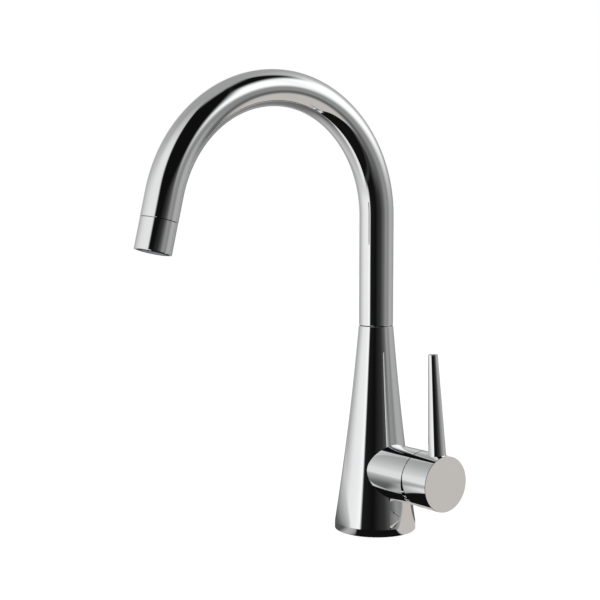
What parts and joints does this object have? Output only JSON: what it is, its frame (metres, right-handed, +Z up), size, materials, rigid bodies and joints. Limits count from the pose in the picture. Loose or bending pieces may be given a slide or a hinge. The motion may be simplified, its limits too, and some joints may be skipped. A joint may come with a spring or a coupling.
{
  "type": "pull-down kitchen faucet",
  "caption": "Gooseneck deck-mounted kitchen faucet with a swivelling spout, a pull-down spray head on a hose and a side lever that mixes and opens.",
  "frame": {"origin": "centre of the body's underside, on the deck, on the axis the spout swivels about", "axes": "+Z up, spout reaches towards -Y, mixing valve and handle along +X"},
  "size_m": [0.1172, 0.2576, 0.4826],
  "materials": {
    "chrome": "polished chrome plate over brass",
    "brass_part": "machined, satin",
    "steel_part": "zinc-plated, satin",
    "stainless": "stainless, satin",
    "black_rubber": "matte black",
    "grey_plastic": "moulded, satin",
    "black_plastic": "moulded, satin",
    "white_plastic": "moulded acetal, smooth",
    "ceramic": "lapped alumina, smooth",
    "braid": "tight nylon braid"
  },
  "bodies": {
    "base": {"body_shell": "chrome", "valve_housing": "chrome", "base_gasket": "black_rubber", "mounting_shank": "brass_part", "deck_washer_rubber": "black_rubber", "deck_washer_steel": "steel_part", "mounting_nut": "brass_part", "nut_screws": "steel_part", "outlet_tube": "stainless", "cartridge_base": "grey_plastic", "cartridge_seals": "black_rubber", "cartridge_case": "grey_plastic", "fixed_disc": "ceramic", "retaining_nut": "brass_part", "dome_cover": "black_plastic", "swivel_washer": "black_plastic"},
    "spout": {"spout_tube": "chrome", "spout_adapter": "brass_part", "bearing_rings": "white_plastic", "spout_orings": "black_rubber", "snap_ring": "stainless", "dock_collar": "black_plastic", "spray_hose": "braid", "hose_tail": "brass_part"},
    "hose_end": {"hose_ferrule": "stainless"},
    "wand": {"hose_nut": "brass_part", "hose_washer": "black_rubber", "wand_shell": "chrome", "wand_core": "black_plastic", "check_valve": "white_plastic", "aerator_seal": "black_rubber", "aerator_housing": "black_plastic", "aerator_screens": "grey_plastic"},
    "mixer": {"stem_guide": "white_plastic"},
    "handle": {"cartridge_stem": "brass_part", "handle_cap": "chrome", "lever_rod": "chrome", "lever_stud": "steel_part", "set_screw": "steel_part"},
    "shutter": {"moving_disc": "ceramic", "disc_carrier": "white_plastic"}
  },
  "joints": [
    {"name": "spout_swivel", "type": "hinge", "parent": "base", "child": "spout", "pos_m": [0, 0, 0.1691], "axis": [0, 0, 1], "continuous": true},
    {"name": "head_pull", "type": "slide", "parent": "spout", "child": "hose_end", "axis": [0, -0.2309, -0.973], "range_m": [0, 0.2], "deforming": ["spray_hose"]},
    {"name": "head_turn", "type": "hinge", "parent": "hose_end", "child": "wand", "pos_m": [0, -0.20517, 0.25631], "axis": [0, -0.2309, -0.973], "continuous": true},
    {"name": "temperature", "type": "hinge", "parent": "base", "child": "mixer", "pos_m": [0.0402, 0, 0.051], "axis": [1, 0, 0], "range_deg": [-45, 45]},
    {"name": "lever_lift", "type": "hinge", "parent": "mixer", "child": "handle", "pos_m": [0.0402, 0, 0.051], "axis": [0, 1, 0], "range_deg": [0, 20]},
    {"name": "shutter_slide", "type": "slide", "parent": "mixer", "child": "shutter", "axis": [0, 0, 1], "range_m": [0, 0.003]}
  ],
  "couplings": [
    {"joint": "shutter_slide", "follows": "lever_lift", "m_per_rad": 0.0083}
  ]
}
